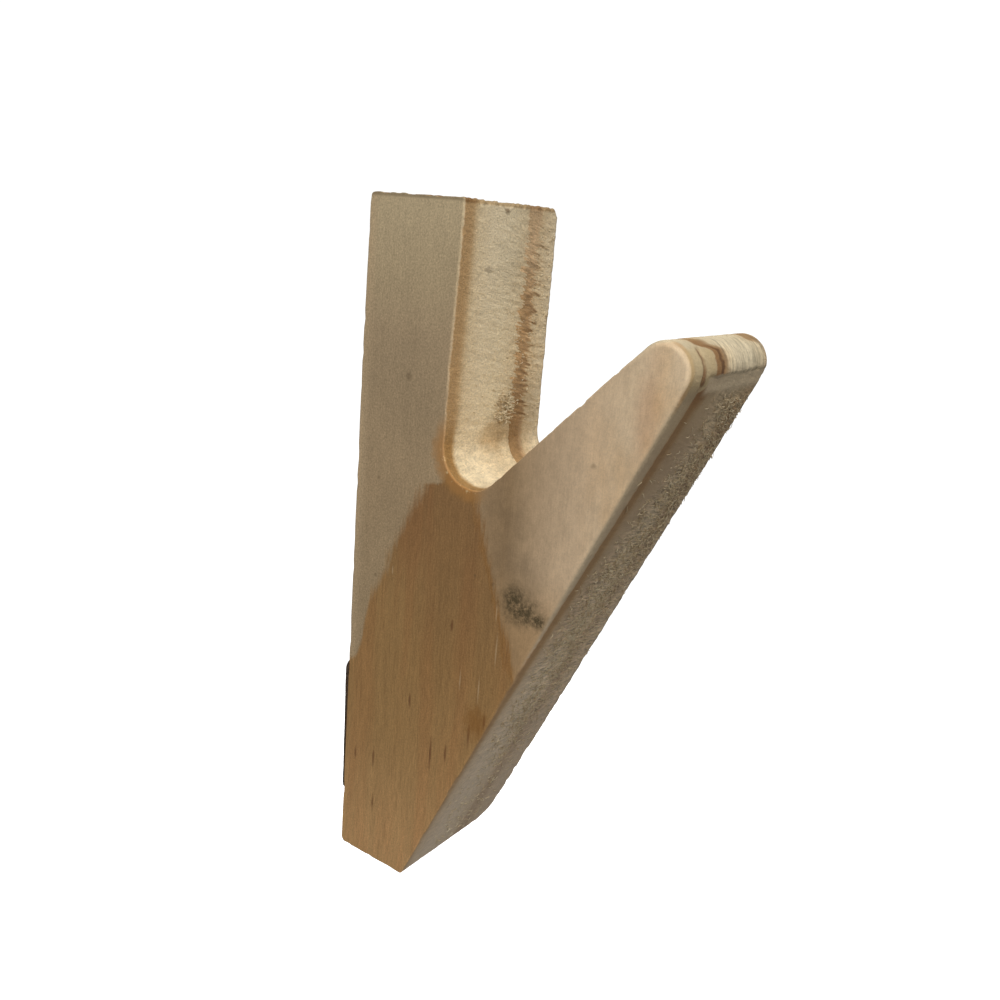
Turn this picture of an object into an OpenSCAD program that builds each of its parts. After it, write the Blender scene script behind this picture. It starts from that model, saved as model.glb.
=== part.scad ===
/* [Hook body] */
// Height from the square-cut foot to the sawn top
hook_h = 110; // [105:1:130]
// Thickness of the board that the hook is cut from
board_t = 25; // [24:1:32]
// Depth of the upright leg, from its back to its inner face
leg_depth = 17; // [14:0.5:20]
// Depth of the foot at its lowest edge
foot_depth = 13.9; // [8:0.1:20]

/* [Arm] */
// Reach of the tip, measured from the back of the leg
arm_reach = 54.5; // [50:0.5:65]
// Height of the centre of the rounded tip above the foot
tip_height = 90.8; // [86:0.1:100]
// Radius of the rounded tip
tip_r = 3.9; // [2.5:0.1:6]

/* [Notch] */
// Radius of the round bottom of the notch
notch_r = 5.4; // [3:0.1:6]
// Height of the centre of that radius above the foot
notch_height = 74.8; // [65:0.1:78]

/* [Mounting pad] */
// Width of the pad, which is the width of the tape it is cut from
pad_w = 24; // [15:0.5:24]
// Height of the pad
pad_h = 25; // [15:1:35]
// Radius of the corners of the pad
pad_corner_r = 1.5; // [0.5:0.1:4]
// Thickness of the foam between its two adhesive films
foam_t = 0.8; // [0.4:0.1:3]
// Thickness of one adhesive film
film_t = 0.1; // [0.05:0.01:0.2]
// Height of the middle of the pad above the foot
pad_height = 22; // [18:0.5:40]
// Turn of the pad from upright in degrees, because it is stuck on by hand
pad_turn = -1; // [-2:0.5:2]

/* [Hidden] */
$fn = 64;

// The wall is the plane Y = 0, and the origin is the middle of the pad on it.
pad_t = foam_t + 2 * film_t;

// Outline points are [distance out from the back of the leg, height above the foot].
notch_centre = [leg_depth + notch_r, notch_height];
tip_centre = [arm_reach - tip_r, tip_height];

function direction(angle) = [cos(angle), sin(angle)];
function bearing(from, to) = atan2(to.y - from.y, to.x - from.x);

// The top of the arm is the straight line that has the notch arc above it and the tip arc below it.
arm_length = norm(tip_centre - notch_centre);
arm_top_normal = bearing(notch_centre, tip_centre) + acos(-(tip_r + notch_r) / arm_length);
arm_top_low = notch_centre - notch_r * direction(arm_top_normal);
arm_top_high = tip_centre + tip_r * direction(arm_top_normal);

// The underside runs straight from the front edge of the foot and meets the tip arc at a tangent.
foot_front = [foot_depth, 0];
foot_to_tip = norm(tip_centre - foot_front);
underside_normal = bearing(foot_front, tip_centre) - asin(tip_r / foot_to_tip) - 90;
underside_high = tip_centre + tip_r * direction(underside_normal);

// One outline for the whole hook: the leg, the notch and the arm are one piece of board.
module hook_outline() {
    difference() {
        union() {
            polygon([
                [0, 0],
                foot_front,
                underside_high,
                tip_centre,
                arm_top_high,
                arm_top_low,
                notch_centre,
                [leg_depth, notch_height],
                [leg_depth, hook_h],
                [0, hook_h]
            ]);
            translate(tip_centre)
                circle(r = tip_r);
        }
        translate(notch_centre)
            circle(r = notch_r);
    }
}

module hook_body() {
    color("burlywood")
        translate([0, -pad_t, -pad_height])
            rotate([90, 0, -90])
                linear_extrude(height = board_t, center = true)
                    hook_outline();
}

module pad_outline() {
    corner_x = pad_w / 2 - pad_corner_r;
    corner_z = pad_h / 2 - pad_corner_r;
    square([pad_w, 2 * corner_z], center = true);
    square([2 * corner_x, pad_h], center = true);
    for (x = [-corner_x, corner_x], z = [-corner_z, corner_z])
        translate([x, z])
            circle(r = pad_corner_r);
}

// One layer of the pad, whose wall side is this far in front of the wall.
module pad_layer(distance, thickness) {
    translate([0, -distance, 0])
        rotate([0, pad_turn, 0])
            rotate([90, 0, 0])
                linear_extrude(height = thickness)
                    pad_outline();
}

module wall_side_adhesive() {
    color("dimgray")
        pad_layer(0, film_t);
}

module pad_foam() {
    color([0.16, 0.13, 0.1])
        pad_layer(film_t, foam_t);
}

module hook_side_adhesive() {
    color("dimgray")
        pad_layer(film_t + foam_t, film_t);
}

hook_body();
pad_foam();
hook_side_adhesive();
wall_side_adhesive();
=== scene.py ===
"""The looks of a raw pine wall hook, sawn from one board, with the foam pad that sticks it to a wall.

Lengths are in millimetres until a mesh, a light or the camera is made. A point of the hook is given by its
depth (from the left side face into the board), out (from the back of the leg) and up (from the foot).
"""

import functools
import itertools
import math

import bmesh
import bpy
import numpy as np
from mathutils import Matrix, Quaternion, Vector


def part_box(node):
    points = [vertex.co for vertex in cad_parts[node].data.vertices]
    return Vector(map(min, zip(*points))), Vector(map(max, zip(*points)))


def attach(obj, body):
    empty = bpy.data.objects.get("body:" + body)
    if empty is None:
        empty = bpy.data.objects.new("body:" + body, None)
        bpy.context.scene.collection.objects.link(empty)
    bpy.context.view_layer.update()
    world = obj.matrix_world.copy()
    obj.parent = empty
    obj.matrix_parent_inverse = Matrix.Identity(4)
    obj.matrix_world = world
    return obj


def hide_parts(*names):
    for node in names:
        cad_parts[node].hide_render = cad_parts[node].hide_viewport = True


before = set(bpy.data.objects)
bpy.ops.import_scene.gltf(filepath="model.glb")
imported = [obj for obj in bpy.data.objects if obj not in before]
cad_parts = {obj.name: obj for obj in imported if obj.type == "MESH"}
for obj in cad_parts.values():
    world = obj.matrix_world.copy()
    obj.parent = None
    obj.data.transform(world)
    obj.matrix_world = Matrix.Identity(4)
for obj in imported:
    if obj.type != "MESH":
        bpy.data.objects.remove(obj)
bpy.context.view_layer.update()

MM = 0.001

# -------------------- sizes from the frame

body_low, body_high = (np.array(corner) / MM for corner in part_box("hook_body"))
BOARD_T, ARM_REACH, HOOK_H = body_high - body_low
SIDE_X, BACK_Y, FOOT_Z = body_low[0], body_high[1], body_low[2]

# The rest of the outline, as in the CAD model.
LEG_DEPTH = 17.0
FOOT_DEPTH = 13.9
TIP_HEIGHT = 90.8
TIP_R = 3.9
NOTCH_HEIGHT = 74.8
NOTCH_R = 5.4

TIP_CENTRE = np.array([ARM_REACH - TIP_R, TIP_HEIGHT])
NOTCH_CENTRE = np.array([LEG_DEPTH + NOTCH_R, NOTCH_HEIGHT])
FOOT_FRONT = np.array([FOOT_DEPTH, 0.0])

PAD_W = 24.0
PAD_H = 25.0
PAD_CORNER_R = 1.5
PAD_TURN = math.radians(-1.0)


def add_object(name, data):
    item = bpy.data.objects.new(name, data)
    bpy.context.scene.collection.objects.link(item)
    return item


def in_row_frame(depth, out, up):
    """Hook coordinates to the row frame, in metres."""
    return np.stack([depth + SIDE_X, BACK_Y - out, up + FOOT_Z], axis=-1) * MM


# -------------------- repeatable noise


def lattice(ix, iy, iz, seed):
    """A repeatable number from -1 to 1 at each whole-number point."""
    n = (ix * 73856093) ^ (iy * 19349663) ^ (iz * 83492791) ^ (seed * 2654435761)
    n = ((n ^ (n >> 13)) * 1274126177) & 0xFFFFFFFF
    n = ((n ^ (n >> 15)) * 668265263) & 0xFFFFFFFF
    return ((n ^ (n >> 16)) & 0xFFFF) / 32767.5 - 1.0


def noise(points, size, seed):
    """Smooth value noise from -1 to 1. size is one number, or one for each axis."""
    p = np.asarray(points, float) / np.asarray(size, float)
    cell = np.floor(p).astype(np.int64)
    f = p - cell
    f = f * f * (3 - 2 * f)
    total = 0.0
    for corner in itertools.product((0, 1), repeat=3):
        weight = np.prod(np.where(corner, f, 1 - f), axis=-1)
        at = cell + corner
        total = total + weight * lattice(at[..., 0], at[..., 1], at[..., 2], seed)
    return total


def step(low, high, value):
    """0 below low, 1 above high, smooth between."""
    t = np.clip((np.asarray(value, float) - low) / (high - low), 0, 1)
    return t * t * (3 - 2 * t)


# -------------------- growth rings

# The board is flat-sawn near the outside of the log, so its rings lie almost flat in it. WoodPlace's boundary
# is how deep the near ring boundary lies under the left side face. It is below 0 where the boundary comes out
# of that face, in a tall pointed patch whose axis leans a little outwards as it rises. It levels off at
# -PATCH_LEVEL inside the patch, and at LEG_LEVEL on the leg.
RING_WIDTH = 16.4
PATCH_OUT = 15.6
PATCH_LEAN = 0.046
PATCH_HALF = 32.9
PATCH_TAPER = 0.40
PATCH_ROUND = 3.0
RING_SLOPE = 0.12
PATCH_LEVEL = 5.0
LEG_LEVEL = 0.62


# -------------------- the outline


def unit(angle):
    return np.array([math.cos(angle), math.sin(angle)])


def crossing(a, along_a, b, along_b):
    """Where two lines meet, each given by a point and a direction."""
    t = np.linalg.solve(np.array([along_a, -along_b]).T, b - a)
    return a + t[0] * along_a


def underside_slope():
    """The angle of the underside, which runs from the front of the foot to the rounded tip."""
    to_tip = TIP_CENTRE - FOOT_FRONT
    return math.atan2(to_tip[1], to_tip[0]) - math.asin(TIP_R / np.hypot(*to_tip))


UNDERSIDE_SLOPE = underside_slope()
UNDERSIDE_HIGH = TIP_CENTRE + TIP_R * unit(UNDERSIDE_SLOPE - math.pi / 2)


def hook_corners():
    """The outline's corners, clockwise with out to the right: (point, radius, name of the next face)."""
    span = TIP_CENTRE - NOTCH_CENTRE
    rise = math.atan2(span[1], span[0])
    arm_normal = rise + math.acos(-(TIP_R + NOTCH_R) / np.hypot(*span))
    arm_point = NOTCH_CENTRE - NOTCH_R * unit(arm_normal)
    arm_along = unit(arm_normal - math.pi / 2)
    notch_corner = crossing(np.array([LEG_DEPTH, 0.0]), np.array([0.0, 1.0]), arm_point, arm_along)
    tip_corner = crossing(FOOT_FRONT, unit(UNDERSIDE_SLOPE), arm_point, arm_along)
    return [
        (np.array([LEG_DEPTH, HOOK_H]), 0.42, "inner_leg"),
        (notch_corner, NOTCH_R, "arm_top"),
        (tip_corner, TIP_R, "underside"),
        (FOOT_FRONT, 0.5, "foot"),
        (np.array([0.0, 0.0]), 0.8, "back"),
        (np.array([0.0, HOOK_H]), 0.45, "top"),
    ]


# The longest step between samples on each face, and round a corner.
FACE_STEP = {"inner_leg": 0.25, "arm_top": 0.36, "underside": 0.3, "foot": 0.5, "back": 1.3, "top": 0.28}
ROUND_STEP = 0.25
FEWEST_ROUND, FEWEST_FLAT = 5, 2


def hook_outline():
    """Samples round the outline: their points, outward normals and face names. A corner's name is round."""
    corners = hook_corners()
    points, normals, names = [], [], []
    count = len(corners)
    ends = []
    for i, (corner, radius, _) in enumerate(corners):
        before = corner - corners[i - 1][0]
        after = corners[(i + 1) % count][0] - corner
        before, after = before / np.hypot(*before), after / np.hypot(*after)
        turn = math.atan2(before[0] * after[1] - before[1] * after[0], before @ after)
        back_off = radius * math.tan(abs(turn) / 2)
        ends.append((corner - before * back_off, corner + after * back_off, before, turn, radius))
    for i, (start, end, before, turn, radius) in enumerate(ends):
        normal = np.array([-before[1], before[0]])
        # A corner that turns right sticks out, and one that turns left is a notch.
        side = -1 if turn < 0 else 1
        centre = start + side * radius * normal
        pieces = max(FEWEST_ROUND, round(abs(turn) * radius / ROUND_STEP))
        first = math.atan2(normal[1], normal[0])
        for k in range(pieces):
            n = unit(first + turn * k / pieces)
            points.append(centre - side * radius * n)
            normals.append(n)
            names.append("round")
        face = corners[i][2]
        goal = ends[(i + 1) % count][0]
        length = np.hypot(*(goal - end))
        along = (goal - end) / length
        pieces = max(FEWEST_FLAT, math.ceil(length / FACE_STEP[face]))
        for k in range(pieces):
            points.append(end + (goal - end) * k / pieces)
            normals.append(np.array([-along[1], along[0]]))
            names.append(face)
    return np.array(points), np.array(normals), np.array(names)


# -------------------- the wood's surface


def edge_radius(out, up, names, side):
    """How round the long edges are: crisp where the saw left them, and worn soft along the arm."""
    soft = np.where(names == "underside", step(20, 60, up), 0.0)
    tip = step(44, 48, out) * step(80, 88, up)
    planed = np.isin(names, ["top", "back"])
    if side == "near":
        return np.where(planed, 0.07, 0.22 + 0.65 * soft * (1 - tip) + 0.55 * tip)
    return 0.26 + 0.30 * soft + 0.20 * tip


# The saw dragged the wood down across the leg and the underside, by these slopes.
LEG_DRAG = 0.22
UNDERSIDE_DRAG = 0.45
# The leg's inner face is torn from here on, across the board and upwards.
TORN_DEPTH = (9.0, 17.0)
TORN_UP = (75.0, 78.5)


def torn_zone(depth, up):
    """Where the saw tore the far half of the leg's inner face, from 0 to 1."""
    return step(*TORN_DEPTH, depth) * step(HOOK_H + 1.0, HOOK_H - 6.0, up) * step(*TORN_UP, up)


def fuzz_clump(depth, up):
    """The thick tuft of torn fibres low on the leg's inner face, from 0 to 1."""
    return step(1.0, 0.4, np.hypot((depth - 14.6) / 3.6, (up - 79.2) / 3.2))


# The fuzz on the underside starts this deep under the left side face, and deeper towards the tip.
FUZZ_START = 3.0
FUZZ_DRIFT = 7.5
FUZZ_RISE = (52.0, 82.0)


def fuzz_start(up):
    return FUZZ_START + FUZZ_DRIFT * step(*FUZZ_RISE, up)


def relief(depth, out, up, names):
    """How far the real surface stands out from the flat sawn faces."""
    p = np.stack([depth, out, up], axis=-1)
    name = np.broadcast_to(names[:, None], depth.shape)
    leg = (name == "inner_leg").astype(float)
    under = (name == "underside").astype(float)
    sawn = np.isin(name, ["inner_leg", "arm_top", "underside", "round"]).astype(float)
    planed = np.isin(name, ["back", "foot", "top"]).astype(float)

    # A general tooth from the saw, finer on the planed faces.
    shape = (0.030 * noise(p, 1.1, 3) + 0.022 * noise(p, 0.5, 4)) * (sawn + 0.4 * planed)

    # Short wavy saw marks across the leg's inner face, deepest where the wood tore.
    slanted = np.stack([depth, np.zeros_like(depth), up + LEG_DRAG * depth], axis=-1)
    marks = noise(slanted, (2.1, 1, 0.50), 5) + 0.6 * noise(slanted, (1.0, 1, 0.32), 6)
    torn = torn_zone(depth, up)
    shape = shape + leg * (0.026 + 0.050 * torn + 0.07 * fuzz_clump(depth, up)) * marks

    # The bottom of the notch is streaked across by the tool that rounded it.
    from_notch = np.abs(np.hypot(out - NOTCH_CENTRE[0], up - NOTCH_CENTRE[1]) - NOTCH_R)
    shape = shape + 0.045 * step(1.2, 0.5, from_notch) * noise(p, (1.5, 0.5, 0.5), 15)

    # Raised fuzz on the underside, thickest along its middle and far side.
    along = np.stack([depth, np.zeros_like(depth), up + UNDERSIDE_DRAG * depth], axis=-1)
    fuzzy = under * step(-2.0, 6.5, depth - fuzz_start(up)) * step(0, 30, up)
    fuzzy = fuzzy * (0.6 + 0.4 * noise(p, (4, 9, 9), 7))
    lumps = noise(along, (1.4, 1, 0.50), 8) + 0.8 * noise(along, (0.7, 1, 0.36), 9)
    shape = shape + 0.062 * fuzzy * lumps

    # The long edges are a little uneven.
    edge = np.minimum(depth, BOARD_T - depth)
    nicks = step(0.15, 0.75, noise(p, (9, 1.6, 1.6), 10))
    return shape - 0.17 * nicks * step(0.9, 0.2, edge)


# The rounded tip faces along TIP_FACING. The distance that way from its centre is its front from the first
# to the second number of TIP_FRONT. It has a split in it, and a crease under its front.
TIP_FACING = unit(math.radians(12))
TIP_FRONT = (0.62 * TIP_R, 0.86 * TIP_R)
TIP_SPLIT_DEPTH = 3.9
TIP_CREASE = TIP_HEIGHT - 0.5


def tip_front(out, up):
    """1 on the front of the rounded tip, 0 on the rest of the hook."""
    ahead = (out - TIP_CENTRE[0]) * TIP_FACING[0] + (up - TIP_CENTRE[1]) * TIP_FACING[1]
    return step(*TIP_FRONT, ahead)


def tip_relief(depth, out, up):
    """The split and the crease in the tip, and the ridges of its frayed end."""
    front = tip_front(out, up)
    p = np.stack([depth, out, up], axis=-1)
    line = TIP_SPLIT_DEPTH + 0.45 * noise(p, (50, 1.8, 1.8), 11)
    cleft = -0.32 * np.exp(-(((depth - line) / 0.20) ** 2))
    fray = 0.07 * noise(p, (0.60, 3, 3), 12) * step(9.5, 12.0, depth)
    crease = TIP_CREASE + 0.35 * noise(p, (3.0, 50, 50), 16)
    return front * (cleft + fray - 0.22 * step(0.15, -0.15, up - crease) * step(4.6, 7.0, depth))


TOP_NOTCH_DEPTH = 10.8


def ragged_top(depth, out):
    """How much the saw broke away from the leg's top: small chips, one notch and a bruised far corner."""
    p = np.stack([depth, out, np.zeros_like(depth)], axis=-1)
    chips = 0.42 * step(-0.2, 0.6, noise(p, (0.8, 16.0, 1), 13))
    chips = chips + 0.24 * step(-0.1, 0.7, noise(p, (0.42, 9.0, 1), 14))
    saw_steps = 0.10 * step(-0.3, 0.5, noise(p, (60.0, 0.9, 1), 17))
    notch = 0.62 * step(1.0, 0.55, np.abs(depth - TOP_NOTCH_DEPTH) / 0.95) * step(6.0, 9.0, out)
    bruise = 1.1 * step(BOARD_T - 1.9, BOARD_T, depth) ** 2 * step(LEG_DEPTH - 3.0, LEG_DEPTH, out)
    return chips * step(0.0, 2.5, depth) + saw_steps + notch + bruise


# The far corner of the foot is worn over the last FOOT_WEAR of the board.
FOOT_WEAR = 4.2


def knocked_corner(depth, out, up):
    """How far the far corner of the foot is worn back, measured up the underside."""
    across = np.clip((depth - (BOARD_T - FOOT_WEAR)) / FOOT_WEAR, 0, 1)
    return FOOT_WEAR * (1 - np.sqrt(1 - 0.92 * across**2)) * step(9.0, 0.0, up) * step(2.0, 12.0, out)


def leg_twist(depth, out, up):
    """How far the top of the leg leans out on its left side, because the cut wandered."""
    left = 1 - depth / BOARD_T
    in_leg = step(LEG_DEPTH + 2.0, LEG_DEPTH + 0.5, out)
    return (0.30 + 0.42 * step(4.0, 15.0, out)) * step(82.0, HOOK_H, up) * left * in_leg


# The columns of faces across the board are close together as far as FINE_DEPTH, where the notch rim shows.
FINE_DEPTH = 7.0
FINE_COLUMN = 0.23
COARSE_COLUMNS = 62


def board_columns():
    """Where the columns lie, as shares of the flat width between the two long edges."""
    near = np.arange(0.0, FINE_DEPTH, FINE_COLUMN)
    far = np.linspace(FINE_DEPTH, BOARD_T, COARSE_COLUMNS)
    return np.concatenate([near, far]) / BOARD_T


# Steps round each long edge, and a last step on to the side face, which holds its shading flat.
ROUNDING = (90.0, 67.0, 45.0, 22.0)
HOLD = 0.12
# How far round an edge the surface's relief fades out.
RELIEF_FADE = 0.2


def build_hook():
    """The hook as one closed mesh: a grid round the outline and across the board, and two side faces."""
    outline, normals, names = hook_outline()
    out, up = outline[:, 0], outline[:, 1]
    near_r = edge_radius(out, up, names, "near")
    far_r = edge_radius(out, up, names, "far")

    # Each column is (depth, inset) for every sample round the outline.
    columns = [(np.zeros_like(near_r), near_r + HOLD)]
    for angle in ROUNDING:
        a = math.radians(angle)
        columns.append((near_r * (1 - math.sin(a)), near_r * (1 - math.cos(a))))
    for share in board_columns():
        columns.append((near_r + (BOARD_T - near_r - far_r) * share, np.zeros_like(near_r)))
    for angle in reversed(ROUNDING):
        a = math.radians(angle)
        columns.append((BOARD_T - far_r * (1 - math.sin(a)), far_r * (1 - math.cos(a))))
    columns.append((np.full_like(far_r, BOARD_T), far_r + HOLD))
    depth = np.stack([c[0] for c in columns], axis=1)
    inset = np.stack([c[1] for c in columns], axis=1)

    grid_out = out[:, None] - normals[:, :1] * inset
    grid_up = up[:, None] - normals[:, 1:] * inset
    fade = np.clip(1 - inset / RELIEF_FADE, 0, 1)
    push = fade * (relief(depth, grid_out, grid_up, names) + tip_relief(depth, grid_out, grid_up))
    grid_out = grid_out + normals[:, :1] * push
    grid_up = grid_up + normals[:, 1:] * push
    fall = step(HOOK_H - 1.6, HOOK_H - 0.1, grid_up)
    twist = leg_twist(depth, grid_out, grid_up)
    grid_up = grid_up - fall * ragged_top(depth, grid_out)
    worn = knocked_corner(depth, grid_out, grid_up)
    lean = (TIP_CENTRE[0] - FOOT_DEPTH) / TIP_HEIGHT
    grid_out = grid_out + twist + lean * worn
    grid_up = grid_up + worn

    rows, cols = depth.shape
    vertices = in_row_frame(depth, grid_out, grid_up).reshape(-1, 3)
    row = np.arange(rows)[:, None]
    here = row * cols + np.arange(cols - 1)[None, :]
    beyond = (row + 1) % rows * cols + np.arange(cols - 1)[None, :]
    quads = np.stack([here, here + 1, beyond + 1, beyond], axis=-1)

    mesh = bpy.data.meshes.new("pine_hook")
    mesh.from_pydata(vertices.tolist(), [], quads.reshape(-1, 4).tolist())
    bm = bmesh.new()
    bm.from_mesh(mesh)
    bm.verts.ensure_lookup_table()
    rims = [[bm.verts[r * cols + column] for r in range(rows)] for column in (0, cols - 1)]
    for rim in rims:
        add_side_face(bm, rim)
    bmesh.ops.recalc_face_normals(bm, faces=bm.faces)
    bm.to_mesh(mesh)
    bm.free()
    for polygon in mesh.polygons:
        polygon.use_smooth = True
    return add_object("pine_hook", mesh)


SIDE_CELL = 2.5


def add_side_face(bm, rim):
    """Closes the board with a flat side face, cut into cells so that it holds no long thin triangles."""
    faces = [bm.faces.new(rim)]
    y_cuts = np.arange(BACK_Y - ARM_REACH + SIDE_CELL, BACK_Y, SIDE_CELL)
    z_cuts = np.arange(FOOT_Z + SIDE_CELL, FOOT_Z + HOOK_H, SIDE_CELL)
    cuts = [((0, y * MM, 0), (0, 1, 0)) for y in y_cuts] + [((0, 0, z * MM), (0, 0, 1)) for z in z_cuts]
    for place, normal in cuts:
        edges = {e for f in faces for e in f.edges}
        verts = {v for f in faces for v in f.verts}
        made = bmesh.ops.bisect_plane(
            bm, geom=[*faces, *edges, *verts], dist=1e-7, plane_co=place, plane_no=normal
        )
        faces = list({*faces, *(item for item in made["geom"] if isinstance(item, bmesh.types.BMFace))})
        faces = [face for face in faces if face.is_valid]


# -------------------- torn fibres

FIBRE_RINGS = 5
FIBRE_SIDES = 3
FIBRE_WIDTH = 0.14
# How much of its width a fibre has at each ring. The last ring is its point.
FIBRE_TAPER = np.array([1, 1, 0.9, 0.65])
# A fibre's root lies ROOT_DEPTH inside the wood, and the rest of it FIBRE_LIFT off the wood.
ROOT_DEPTH = 0.10
FIBRE_LIFT = 0.06


def fibres_on(rng, count, place, aside, rise_to, normal, length, arching, keep):
    """Curved tapering fibres in the row frame, in millimetres: one row of FIBRE_RINGS centres for each fibre.

    place gives a root point from two random numbers, and keep the chance that a fibre grows there. A fibre
    lies along aside, turned in the surface towards rise_to, and arches out along normal by arching.
    """
    roots = place(rng.random(count), rng.random(count))
    chosen = rng.random(count) < keep(roots)
    roots = roots[chosen]
    count = len(roots)
    share = np.linspace(0, 1, FIBRE_RINGS)[None, :, None]
    turn = rng.normal(0, 0.38, count)[:, None, None]
    way = np.where(rng.random(count) < 0.5, -1.0, 1.0)[:, None, None]
    reach = (length * rng.uniform(0.5, 1.3, count))[:, None, None]
    curl = rng.normal(0, 0.35, count)[:, None, None] * share
    arch = (arching * rng.uniform(0.10, 0.34, count))[:, None, None] * np.sin(math.pi * share * 0.88)
    along = way * (np.cos(turn + curl) * aside + np.sin(turn + curl) * rise_to)
    height = arch * length + FIBRE_LIFT - (FIBRE_LIFT + ROOT_DEPTH) * (share == 0)
    return roots[:, None, :] + along * reach * share + normal * height


def row_point(depth, out, up):
    return in_row_frame(depth, out, up) / MM


def depth_and_up(point):
    return point[:, 0] - SIDE_X, point[:, 2] - FOOT_Z


def dragged(across, upward, drag):
    slanted = across - drag * upward
    return slanted / np.linalg.norm(slanted)


def leg_fibres(rng):
    """Fibres all over the torn zone of the leg's inner face, and the thick tuft low on it."""
    inward, upward, outward = np.array([1.0, 0, 0]), np.array([0.0, 0, 1.0]), np.array([0.0, -1.0, 0])
    slanted = dragged(inward, upward, LEG_DRAG)

    def anywhere(a, b):
        return row_point(1.5 + 23.0 * a, np.full_like(a, LEG_DEPTH), 76.0 + 32.0 * b)

    def clump(a, b):
        return row_point(11.4 + 7.5 * a, np.full_like(a, LEG_DEPTH), 76.4 + 6.0 * b)

    def likely(point):
        depth, up = depth_and_up(point)
        patchy = 0.5 + 0.5 * noise(np.stack([depth, up, up], axis=-1), (2.5, 3.0, 3.0), 21)
        return 0.03 + 0.60 * torn_zone(depth, up) * patchy

    def in_clump(point):
        return fuzz_clump(*depth_and_up(point))

    return [
        fibres_on(rng, 1500, anywhere, slanted, upward, outward, 0.62, 0.5, likely),
        fibres_on(rng, 420, clump, slanted, upward, outward, 0.75, 1.0, in_clump),
    ]


def underside_fibres(rng):
    """The fuzz on the underside, thickest on its far side and under the arm."""
    length = UNDERSIDE_HIGH - FOOT_FRONT
    along = length / np.hypot(*length)
    upward = np.array([0.0, -along[0], along[1]])
    outward = np.array([0.0, -along[1], -along[0]])
    slanted = dragged(np.array([1.0, 0, 0]), upward, UNDERSIDE_DRAG)

    def anywhere(a, b):
        point = FOOT_FRONT + np.outer(0.02 + 0.95 * b, length)
        return row_point(3.4 + 20.4 * a, point[:, 0], point[:, 1])

    def likely(point):
        depth, up = depth_and_up(point)
        patchy = 0.5 + 0.5 * noise(np.stack([depth, up, up], axis=-1), (4.0, 6.0, 6.0), 22)
        low_far = step(16.0, 20.0, depth) * step(66.0, 50.0, up)
        across = (0.02 + 0.98 * step(-2.5, 8.5, depth - fuzz_start(up)) ** 1.5) * (1 - 0.8 * low_far)
        return across * (0.35 + 0.65 * patchy) * (0.22 + 0.78 * step(14, 42, up))

    return [fibres_on(rng, 9000, anywhere, slanted, upward, outward, 1.45, 0.36, likely)]


def build_fibres():
    """All torn fibres as one mesh of thin three-sided tubes, each tapering to a point."""
    rng = np.random.default_rng(538)
    centres = np.concatenate(leg_fibres(rng) + underside_fibres(rng))
    count = len(centres)
    ahead = np.gradient(centres, axis=1)
    ahead /= np.linalg.norm(ahead, axis=2, keepdims=True)
    aside = np.cross(ahead, [0.12, 0.31, 0.94])
    aside /= np.linalg.norm(aside, axis=2, keepdims=True)
    above = np.cross(aside, ahead)
    radius = 0.5 * FIBRE_WIDTH * rng.uniform(0.6, 1.25, (count, 1, 1)) * FIBRE_TAPER[None, :, None]
    sides = []
    for side in range(FIBRE_SIDES):
        a = math.radians(360 * side / FIBRE_SIDES)
        way = math.cos(a) * aside[:, :-1] + math.sin(a) * above[:, :-1]
        sides.append(centres[:, :-1] + radius * way)
    point = (FIBRE_RINGS - 1) * FIBRE_SIDES
    rings = np.stack(sides, axis=2).reshape(count, point, 3)
    points = np.concatenate([rings, centres[:, -1:]], axis=1)

    faces = []
    for ring in range(FIBRE_RINGS - 2):
        low, high = FIBRE_SIDES * ring, FIBRE_SIDES * (ring + 1)
        for side in range(FIBRE_SIDES):
            after = (side + 1) % FIBRE_SIDES
            faces.append((low + side, low + after, high + after, high + side))
    last = point - FIBRE_SIDES
    ends = [(2, 1, 0)]
    for side in range(FIBRE_SIDES):
        ends.append((last + side, last + (side + 1) % FIBRE_SIDES, point))
    first = np.arange(count) * points.shape[1]
    quads = (first[:, None, None] + np.array(faces)[None]).reshape(-1, 4).tolist()
    tris = (first[:, None, None] + np.array(ends)[None]).reshape(-1, 3).tolist()
    mesh = bpy.data.meshes.new("torn_fibres")
    mesh.from_pydata((points.reshape(-1, 3) * MM).tolist(), [], quads + tris)
    mesh.polygons.foreach_set("use_smooth", [True] * len(mesh.polygons))
    return add_object("torn_fibres", mesh)


# -------------------- the pad


PAD_CORNER_PIECES = 8
PAD_STEP = 0.4


def pad_rim(inset):
    """The pad's outline as (x, z) points, drawn in by inset."""
    points = []
    for quarter, (sx, sz) in enumerate([(1, 1), (-1, 1), (-1, -1), (1, -1)]):
        for k in range(PAD_CORNER_PIECES + 1):
            corner = unit(math.radians(90 * quarter + 90 * k / PAD_CORNER_PIECES)) * (PAD_CORNER_R - inset)
            x = sx * (PAD_W / 2 - PAD_CORNER_R) + corner[0]
            z = sz * (PAD_H / 2 - PAD_CORNER_R) + corner[1]
            points.append((x, z))
    corners = np.array(points)
    filled = []
    for a, b in zip(corners, np.roll(corners, -1, axis=0)):
        pieces = max(1, round(np.hypot(*(b - a)) / PAD_STEP))
        filled.extend(a + (b - a) * k / pieces for k in range(pieces))
    return np.array(filled)


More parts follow.
